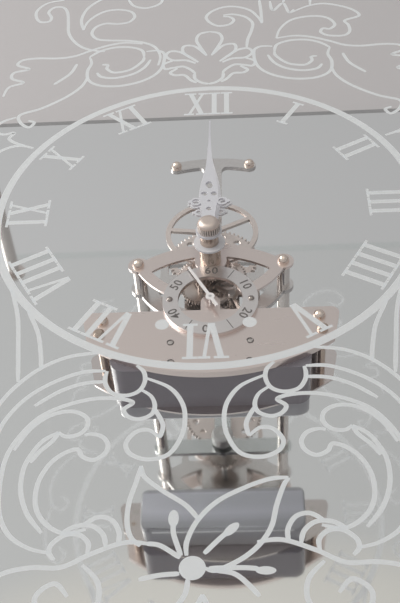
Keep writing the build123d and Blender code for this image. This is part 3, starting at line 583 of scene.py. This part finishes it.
# Printed scrollwork as knots in ring radii: drawn on both sides, or on one side only
BOTH_SIDES = [
    # palmette over XII
    [(0.0, 1.586), (0.055, 1.565), (0.074, 1.5), (0.05, 1.42), (0.014, 1.33)],
    [(0.02, 1.34), (0.08, 1.43), (0.143, 1.44), (0.148, 1.375), (0.098, 1.31), (0.06, 1.265)],
    [(0.105, 1.31), (0.16, 1.375), (0.22, 1.39), (0.245, 1.345), (0.206, 1.297), (0.13, 1.29),
     (0.075, 1.255)],
    [(0.206, 1.29), (0.256, 1.258), (0.245, 1.21), (0.198, 1.219), (0.144, 1.227), (0.098, 1.188),
     (0.075, 1.15)],
    [(0.175, 1.211), (0.214, 1.172), (0.19, 1.144), (0.136, 1.14), (0.1, 1.09), (0.067, 1.06)],
    [(0.08, 1.15), (0.075, 1.1), (0.04, 1.06), (0.0, 1.045)],
    # double scroll beside it
    [(0.36, 1.4), (0.3, 1.405), (0.262, 1.38), (0.253, 1.328), (0.262, 1.234), (0.3, 1.156),
     (0.378, 1.094), (0.488, 1.06), (0.597, 1.07), (0.667, 1.125), (0.683, 1.219), (0.667, 1.297),
     (0.683, 1.365)],
    [(0.331, 1.313), (0.363, 1.234), (0.425, 1.172), (0.519, 1.141), (0.597, 1.156), (0.628, 1.2)],
    [(0.37, 1.344), (0.378, 1.297), (0.44, 1.219), (0.527, 1.195), (0.573, 1.234), (0.573, 1.273),
     (0.605, 1.281)],
    [(0.37, 1.344), (0.386, 1.414), (0.456, 1.453), (0.55, 1.456), (0.628, 1.422), (0.683, 1.367)],
    # side leaf
    [(0.386, 1.484), (0.488, 1.503), (0.581, 1.484), (0.675, 1.438), (0.769, 1.383), (0.863, 1.367),
     (0.988, 1.375), (1.07, 1.36), (1.09, 1.31), (1.02, 1.265), (1.1, 1.235), (1.105, 1.175),
     (1.035, 1.13), (1.11, 1.09), (1.13, 1.0)],
    [(0.75, 1.3), (0.78, 1.2), (0.86, 1.1)],
    # branch down to the side volute
    [(0.675, 1.175), (0.7, 1.075), (0.775, 0.975), (0.9, 0.875), (1.01, 0.82), (1.0, 0.75),
     (0.95, 0.705), (0.925, 0.745), (0.96, 0.765)],
    [(1.03, 0.8), (1.1, 0.76), (1.13, 0.69), (1.08, 0.65), (1.02, 0.66), (1.04, 0.61), (1.0, 0.57),
     (0.95, 0.545)],
    [(0.9, 0.52), (0.97, 0.545), (1.05, 0.52), (1.15, 0.42), (1.2, 0.27), (1.18, 0.12), (1.11, 0.07),
     (1.07, 0.13), (1.12, 0.18)],
    [(1.18, 0.08), (1.2, -0.08), (1.17, -0.24), (1.1, -0.33), (1.05, -0.27), (1.1, -0.21)],
    # horns under the ring
    [(0.87, -0.5), (0.815, -0.686), (0.785, -0.886), (0.762, -1.057)],
    [(0.775, -0.65), (0.714, -0.786), (0.686, -0.914), (0.676, -0.99)],
    # arcs that fan out from the bulbs
    [(0.45, -0.91), (0.57, -0.929), (0.685, -0.993), (0.785, -1.105), (0.86, -1.25)],
    [(0.407, -1.011), (0.5, -1.014), (0.615, -1.064), (0.715, -1.143), (0.785, -1.25), (0.82, -1.37)],
    [(0.405, -1.068), (0.493, -1.075), (0.586, -1.114), (0.678, -1.185)],
    [(0.281, -0.985), (0.25, -1.021), (0.243, -1.071), (0.264, -1.121), (0.314, -1.143),
     (0.371, -1.129), (0.4, -1.086), (0.406, -1.045), (0.4, -1.012)],
    [(0.257, -1.114), (0.214, -1.15), (0.197, -1.2), (0.21, -1.243), (0.257, -1.264), (0.3, -1.25),
     (0.319, -1.214), (0.286, -1.179), (0.35, -1.157), (0.45, -1.157), (0.57, -1.193), (0.665, -1.257),
     (0.74, -1.38), (0.762, -1.5), (0.75, -1.665), (0.7, -1.771), (0.62, -1.829), (0.543, -1.85)],
    # great lower scroll with its bulb
    [(0.171, -1.357), (0.214, -1.319), (0.264, -1.326), (0.3, -1.379), (0.281, -1.429), (0.214, -1.457),
     (0.136, -1.436), (0.09, -1.357), (0.076, -1.271), (0.09, -1.186), (0.143, -1.107), (0.24, -1.054)],
    [(0.171, -1.357), (0.161, -1.3), (0.179, -1.25), (0.2, -1.214)],
    # outer scroll
    [(0.567, -1.319), (0.536, -1.34), (0.486, -1.331), (0.457, -1.293), (0.464, -1.25), (0.507, -1.221),
     (0.564, -1.219), (0.621, -1.243), (0.68, -1.3), (0.73, -1.4)],
    [(0.567, -1.319), (0.621, -1.357), (0.657, -1.414), (0.681, -1.486), (0.679, -1.586),
     (0.643, -1.686), (0.579, -1.769)],
    [(0.567, -1.319), (0.585, -1.36), (0.63, -1.41), (0.66, -1.46)],
    [(0.464, -1.336), (0.436, -1.331), (0.393, -1.346), (0.369, -1.386), (0.381, -1.429),
     (0.421, -1.454), (0.464, -1.436), (0.486, -1.403), (0.536, -1.421), (0.586, -1.471),
     (0.619, -1.557), (0.614, -1.657), (0.571, -1.729), (0.5, -1.771), (0.42, -1.757)],
    # scallops beside the flower
    [(0.3, -1.821), (0.3, -1.771), (0.329, -1.721), (0.379, -1.707), (0.429, -1.736)],
    [(0.343, -1.829), (0.357, -1.779), (0.4, -1.743), (0.457, -1.743), (0.507, -1.771)],
    [(0.407, -1.857), (0.407, -1.814), (0.443, -1.779), (0.493, -1.779), (0.536, -1.814),
     (0.543, -1.85), (0.521, -1.879)],
    [(0.19, -1.821), (0.279, -1.814), (0.393, -1.857), (0.493, -1.907), (0.6, -1.907), (0.7, -1.93),
     (0.8, -2.0)],
    # foot of the print
    [(0.42, -1.9), (0.36, -1.97), (0.36, -2.06), (0.44, -2.12), (0.54, -2.1), (0.57, -2.02),
     (0.51, -1.97), (0.46, -2.02)],
    [(0.2, -2.06), (0.26, -2.16), (0.38, -2.24), (0.5, -2.23), (0.58, -2.15)],
    [(0.05, -2.12), (0.12, -2.2), (0.22, -2.3), (0.2, -2.4), (0.1, -2.42), (0.07, -2.34),
     (0.13, -2.31)],
    [(0.0, -2.02), (0.03, -2.12), (0.0, -2.24)],
]
RIGHT_ONLY = [
    # leafy scroll above the double scroll
    [(0.386, 1.484), (0.409, 1.578), (0.464, 1.664), (0.534, 1.703), (0.628, 1.711), (0.698, 1.68),
     (0.73, 1.609), (0.698, 1.563), (0.659, 1.57), (0.644, 1.53), (0.683, 1.492), (0.769, 1.484),
     (0.808, 1.523), (0.808, 1.594), (0.792, 1.648), (0.878, 1.695), (0.847, 1.766), (0.769, 1.82),
     (0.675, 1.852), (0.581, 1.828), (0.488, 1.766)],
    [(0.3, 1.92), (0.306, 1.79), (0.308, 1.656)],
    [(0.308, 1.656), (0.284, 1.734), (0.238, 1.813), (0.159, 1.859), (0.081, 1.859), (0.011, 1.813),
     (-0.02, 1.75), (0.003, 1.688), (0.05, 1.648), (0.113, 1.656), (0.144, 1.703), (0.12, 1.742),
     (0.081, 1.75)],
    [(0.214, 1.398), (0.222, 1.484), (0.245, 1.578), (0.253, 1.664), (0.214, 1.734), (0.144, 1.77),
     (0.081, 1.766)],
    [(0.363, 1.906), (0.378, 1.797), (0.44, 1.875), (0.472, 1.766), (0.503, 1.797)],
    [(0.6, 1.84), (0.62, 1.95), (0.72, 2.05), (0.85, 2.06), (0.92, 1.97), (0.87, 1.9), (0.8, 1.94)],
    [(0.3, 1.92), (0.33, 2.06), (0.28, 2.18), (0.16, 2.23), (0.06, 2.16), (0.09, 2.07), (0.17, 2.09)],
    [(0.44, 1.88), (0.48, 2.05), (0.5, 2.2), (0.42, 2.3)],
    # petals, stamens and leaves of the flower
    [(-0.057, -1.871), (-0.057, -1.814), (-0.021, -1.729), (0.05, -1.65), (0.15, -1.593),
     (0.243, -1.557), (0.312, -1.552)],
    [(0.314, -1.554), (0.293, -1.586), (0.264, -1.671), (0.243, -1.757), (0.2, -1.829), (0.136, -1.886),
     (0.05, -1.929), (0.007, -1.921)],
    [(0.004, -1.864), (0.05, -1.814), (0.086, -1.779)],
    [(0.021, -1.921), (0.136, -1.921), (0.193, -1.926)],
    [(0.036, -1.929), (0.107, -1.943), (0.157, -1.986), (0.193, -2.03)],
]
LEFT_ONLY = [
    # long double curve with its leaf
    [(-0.286, 1.25), (-0.278, 1.344), (-0.309, 1.438), (-0.372, 1.492), (-0.466, 1.523),
     (-0.575, 1.536), (-0.653, 1.555), (-0.692, 1.617), (-0.677, 1.688), (-0.622, 1.727),
     (-0.544, 1.719), (-0.481, 1.734), (-0.45, 1.789), (-0.473, 1.852), (-0.544, 1.883),
     (-0.622, 1.875), (-0.684, 1.828), (-0.731, 1.75), (-0.747, 1.664)],
    [(-0.747, 1.664), (-0.77, 1.781), (-0.747, 1.906), (-0.684, 2.0), (-0.6, 2.06)],
    [(-0.6, 1.42), (-0.653, 1.43), (-0.731, 1.469), (-0.794, 1.547), (-0.833, 1.641), (-0.848, 1.766),
     (-0.864, 1.875), (-0.895, 1.938), (-0.95, 1.945), (-0.981, 1.891), (-0.958, 1.828),
     (-0.966, 1.781), (-1.02, 1.781), (-1.052, 1.844), (-1.052, 1.922), (-1.0, 2.0), (-0.9, 2.03)],
    [(-0.5, 2.0), (-0.46, 1.92), (-0.38, 1.89), (-0.3, 1.94), (-0.3, 2.03), (-0.38, 2.1)],
    [(-0.2, 2.0), (-0.1, 2.1), (-0.08, 2.22), (-0.16, 2.32)],
    # petals, stamen and leaves of the flower
    [(-0.014, -1.729), (-0.064, -1.664), (-0.15, -1.6), (-0.221, -1.536), (-0.236, -1.486)],
    [(-0.236, -1.486), (-0.25, -1.557), (-0.271, -1.643), (-0.274, -1.729), (-0.257, -1.793),
     (-0.221, -1.829)],
    [(-0.076, -1.871), (-0.104, -1.786), (-0.107, -1.743)],
    [(-0.079, -1.879), (-0.15, -1.829), (-0.2, -1.82)],
    [(-0.08, -1.94), (-0.15, -1.945), (-0.22, -1.96)],
    [(-0.05, -1.96), (-0.06, -2.02), (-0.1, -2.08)],
]
# Ovals of the flower: middle, half width and half length in ring radii, and turn in radians
FLOWER_EYE = (-0.036, -1.919, 0.047, 0.047, 0.0)
CLUBS = [
    (-0.107, -1.719, 0.019, 0.036, 0.0),
    (0.1, -1.768, 0.017, 0.036, -0.8),
    (0.217, -1.933, 0.016, 0.036, -1.6),
]


def oval(x, y, half_w, half_l, turn):
    """Points of a turned oval, in millimetres from ring radii."""
    points = []
    for u, v in circle(1.0, 0.0, 0.0, OVAL_STEPS):
        across = half_w * u * math.cos(turn) - half_l * v * math.sin(turn)
        along = half_w * u * math.sin(turn) + half_l * v * math.cos(turn)
        points.append(((x + across) * RING_R, (y + along) * RING_R))
    return points


ornament = Flat(print_z)
drawn = [(1, knots) for knots in BOTH_SIDES + RIGHT_ONLY + LEFT_ONLY]
drawn += [(-1, knots) for knots in BOTH_SIDES]
for side, knots in drawn:
    line = spline([(side * x * RING_R, y * RING_R) for x, y in knots])
    stroke(ornament, line, STROKE_W, STROKE_TAPER)
for blob in CLUBS + [FLOWER_EYE]:
    ornament.polygon(oval(*blob))
ornament.make("print_scrolls", print_white, "frame")


# Seconds dial
def solid_text(name, words, x, y, turn):
    """Flat number on the dial as a mesh, with its middle at a point in metres."""
    curve = bpy.data.curves.new(name, "FONT")
    curve.body = words
    curve.size = NUMBER_SIZE * MM
    curve.space_character = NUMBER_SPACING
    curve.align_x = "CENTER"
    curve.align_y = "CENTER"
    curve.resolution_u = NUMBER_SMOOTH
    curve.offset = BOLD * MM
    text = bpy.data.objects.new(name + "_text", curve)
    bpy.context.scene.collection.objects.link(text)
    bpy.context.view_layer.update()
    mesh = bpy.data.meshes.new_from_object(text.evaluated_get(bpy.context.evaluated_depsgraph_get()))
    bpy.data.objects.remove(text)
    mesh.transform(Matrix.Translation((x, y, ink_z)) @ Matrix.Rotation(turn, 4, "Z"))
    mesh.name = name
    mesh.materials.clear()
    put(name, mesh, ink, "frame")


marks = Flat(ink_z)
for second in range(0, SECONDS_ROUND, MARK_EVERY):
    angle = math.radians(SECOND_ANGLE * second) + DIAL_TURN
    out = (math.sin(angle), math.cos(angle))
    if second % NUMBER_EVERY == 0:
        words = str(second or SECONDS_ROUND)
        x = NUMBER_R * out[0] * MM
        y = (SECONDS_Y + NUMBER_R * out[1]) * MM
        solid_text(f"second_{words}", words, x, y, -angle)
    elif second not in SCREW_SECONDS:
        ends = [(r * out[0], SECONDS_Y + r * out[1]) for r in (LINE_INNER_R, LINE_OUTER_R)]
        stroke(marks, ends, LINE_W, taper=0.0)
marks.make("second_lines", ink, "frame")


# Screws, eyelets and rivets
def dome(name, radius, height, x, y, z, look):
    """Low dome of a screw head or rivet, closed below."""
    points = []
    for row in range(DOME_ROWS):
        turn = 0.5 * math.pi * row / DOME_ROWS
        level = z + height * math.sin(turn) * MM
        for px, py in circle(radius * math.cos(turn), x, y, DOME_STEPS):
            points.append((px * MM, py * MM, level))
    faces = walls(DOME_ROWS, DOME_STEPS)
    top = len(points)
    points.append((x * MM, y * MM, z + height * MM))
    last_row = top - DOME_STEPS
    for k in range(DOME_STEPS):
        faces.append((last_row + k, last_row + (k + 1) % DOME_STEPS, top))
    faces.append(tuple(range(DOME_STEPS - 1, -1, -1)))
    add_mesh(name, points, faces, look, "frame", smooth=True)


def hoop(name, radius, tube, x, y, z, look):
    """Round ring of wire lying flat."""
    points = []
    faces = []
    for k in range(HOOP_STEPS):
        a = 2 * math.pi * k / HOOP_STEPS
        for across, rise in circle(tube, radius, 0.0, HOOP_SIDES):
            px = x + across * math.cos(a)
            py = y + across * math.sin(a)
            points.append((px * MM, py * MM, z + rise * MM))
        here = k * HOOP_SIDES
        there = (k + 1) % HOOP_STEPS * HOOP_SIDES
        for s in range(HOOP_SIDES):
            after = (s + 1) % HOOP_SIDES
            faces.append((here + s, there + s, there + after, here + after))
    add_mesh(name, points, faces, look, "frame", smooth=True)


for side, name in ((-1, "left"), (1, "right")):
    screw_x = side * SCREW_R * math.cos(DIAL_TURN)
    screw_y = SECONDS_Y - side * SCREW_R * math.sin(DIAL_TURN)
    dome(f"dial_screw_{name}", SCREW_HEAD_R, SCREW_HEAD_H, screw_x, screw_y, dial_high, screw_tone)
    for row, (x, y) in EYELETS.items():
        hoop(f"eyelet_{row}_{name}", EYELET_R, EYELET_WIRE, side * x, y, plate_high, eyelet_tone)
        rivet_z = plate_high - RIVET_SUNK * MM
        dome(f"rivet_{row}_{name}", EYELET_R, RIVET_H, side * x, y, rivet_z, rivet_tone)

# Hand nut
nut_low, nut_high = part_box("hand_nut")
nut_tall = (nut_high.z - nut_low.z) / MM
band_high = NUT_FOOT + NUT_BAND
nut_steps = KNURLS * KNURL_STEPS
band_start = (NUT_NECK_R, NUT_FOOT, True)
nut_rows = [(NUT_NECK_R, 0.0, False), (NUT_NECK_R, NUT_FOOT, False), band_start]
nut_rows += [(NUT_NECK_R, band_high, True), (NUT_NECK_R, band_high, False)]
for row in range(1, NUT_CROWN_ROWS + 1):
    turn = 0.5 * math.pi * row / NUT_CROWN_ROWS
    crown = NUT_CROWN_R + (NUT_NECK_R - NUT_CROWN_R) * math.cos(turn)
    nut_rows.append((crown, band_high + (nut_tall - band_high) * math.sin(turn), False))


def on_ridge(step):
    """Whether a step round the nut lies on a ridge and not in a groove."""
    return step % KNURL_STEPS < KNURL_STEPS / 2


nut_points = []
for radius, height, knurled in nut_rows:
    for k in range(nut_steps):
        angle = 2 * math.pi * k / nut_steps
        reach = radius
        if knurled:
            reach = NUT_RIDGE_R if on_ridge(k) else NUT_GROOVE_R
        x = reach * math.cos(angle)
        y = reach * math.sin(angle)
        nut_points.append((x * MM, y * MM, nut_low.z + height * MM))
nut_faces = walls(len(nut_rows), nut_steps)
nut_faces.append(tuple(range(nut_steps - 1, -1, -1)))
nut_faces.append(tuple(range(len(nut_points) - nut_steps, len(nut_points))))
nut = add_mesh("hand_nut_knurled", nut_points, nut_faces, nut_tone, "minute", smooth=True)
# The band's faces take the painted shade in the grooves and the painted highlight on the ridges
groove_shade_look = len(nut.data.materials)
nut.data.materials.append(groove_shade_tone)
ridge_highlight_look = len(nut.data.materials)
nut.data.materials.append(ridge_highlight_tone)
band_face = nut_rows.index(band_start) * nut_steps
for k in range(nut_steps):
    nut.data.polygons[band_face + k].material_index = ridge_highlight_look if on_ridge(k) else groove_shade_look
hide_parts("hand_nut")

# Soft edges on the moulded cover
cover = frame["nodes"]["housing_cover"]
cover_weld = cover.modifiers.new("joined_faces", "WELD")
cover_weld.merge_threshold = WELD_GAP * MM
cover_bevel = cover.modifiers.new("soft_edges", "BEVEL")
cover_bevel.use_clamp_overlap = False
cover_bevel.width = BEVEL_W * MM
cover_bevel.segments = BEVEL_STEPS
cover_bevel.limit_method = "ANGLE"
cover_bevel.angle_limit = BEVEL_ANGLE

# Pale lip along the cover's near lower edge, a painted highlight along that edge
cover_low, cover_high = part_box("housing_cover")
lip_half = cover_high.x - LIP_CORNER * MM
lip_points = []
lip_faces = []
for x in (-lip_half, lip_half):
    for inward, rise in circle(LIP_R, LIP_IN, LIP_IN - LIP_DROP, LIP_SIDES):
        lip_points.append((x, cover_low.y + inward * MM, cover_high.z + rise * MM))
for k in range(LIP_SIDES):
    after = (k + 1) % LIP_SIDES
    lip_faces.append((k, k + LIP_SIDES, after + LIP_SIDES, after))
lip_faces.append(tuple(range(LIP_SIDES)))
lip_faces.append(tuple(range(2 * LIP_SIDES - 1, LIP_SIDES - 1, -1)))
add_mesh("cover_highlight_lip", lip_points, lip_faces, lip_highlight_tone, "cover", smooth=True)

# Smooth shading between the sharp edges of all nodes and of the nut
for node in frame["nodes"].values():
    node.data.shade_smooth()
    node.data.set_sharp_from_angle(angle=SHARP)
nut.data.set_sharp_from_angle(angle=SHARP)

# Floor
bpy.ops.mesh.primitive_plane_add(size=FLOOR_SIZE, location=(0.0, 0.0, 0.0))
floor = bpy.context.object
floor.name = "floor"
floor.data.materials.append(plain("pale_floor", FLOOR_TONE, rough=0.7))


# Light
def lamp(name, place, target, size, power, color):
    """Square soft light aimed at a point."""
    data = bpy.data.lights.new(name, "AREA")
    data.energy = power
    data.size = size
    data.color = color
    made = bpy.data.objects.new(name, data)
    bpy.context.scene.collection.objects.link(made)
    made.location = place
    aim = Vector(target) - Vector(place)
    made.rotation_euler = aim.to_track_quat("-Z", "Y").to_euler()


lamp("key_light", KEY_PLACE, KEY_TARGET, KEY_SIZE, KEY_POWER, KEY_COLOR)

# Room around the clock
world = bpy.data.worlds.new("room")
world.use_nodes = True
bpy.context.scene.world = world
tree = world.node_tree
back = tree.nodes["Background"]
place = add_node(tree, "ShaderNodeTexCoord")
split = add_node(tree, "ShaderNodeSeparateXYZ")
ramp = add_node(tree, "ShaderNodeValToRGB")
fill_ramp(ramp, ROOM)
sides = add_node(
    tree, "ShaderNodeMapRange", {"From Min": -1.0, "To Min": ROOM_LEFT, "To Max": ROOM_RIGHT}
)
tint = add_node(tree, "ShaderNodeVectorMath", operation="SCALE")
link(tree, place, "Generated", split, "Vector")
link(tree, split, "Z", ramp, "Fac")
link(tree, split, "X", sides, "Value")
link(tree, ramp, "Color", tint, "Vector")
link(tree, sides, "Result", tint, "Scale")
link(tree, tint, "Vector", back, "Color")
back.inputs["Strength"].default_value = 1.0

# Camera
target = Vector((TARGET_X * RING_R * MM, TARGET_Y * RING_R * MM, print_z))
level_reach = math.cos(ELEVATION)
toward = Vector((math.sin(AZIMUTH) * level_reach, -math.cos(AZIMUTH) * level_reach, math.sin(ELEVATION)))
right = (-toward).cross(Vector((0.0, 0.0, 1.0))).normalized()
up = right.cross(-toward)
turned_right = math.cos(ROLL) * right + math.sin(ROLL) * up
turned_up = -math.sin(ROLL) * right + math.cos(ROLL) * up
camera_data = bpy.data.cameras.new("camera")
camera_data.sensor_fit = "VERTICAL"
camera_data.sensor_height = SENSOR_H
camera_data.lens = SENSOR_H * FOCAL_ROWS / PICTURE_ROWS
camera_data.clip_start = CLIP_START
camera = bpy.data.objects.new("camera", camera_data)
bpy.context.scene.collection.objects.link(camera)
spin = Matrix((turned_right, turned_up, toward)).transposed()
camera.matrix_world = Matrix.Translation(target + AWAY * RING_R * MM * toward) @ spin.to_4x4()
bpy.context.scene.camera = camera
bpy.context.scene.view_settings.view_transform = "Standard"
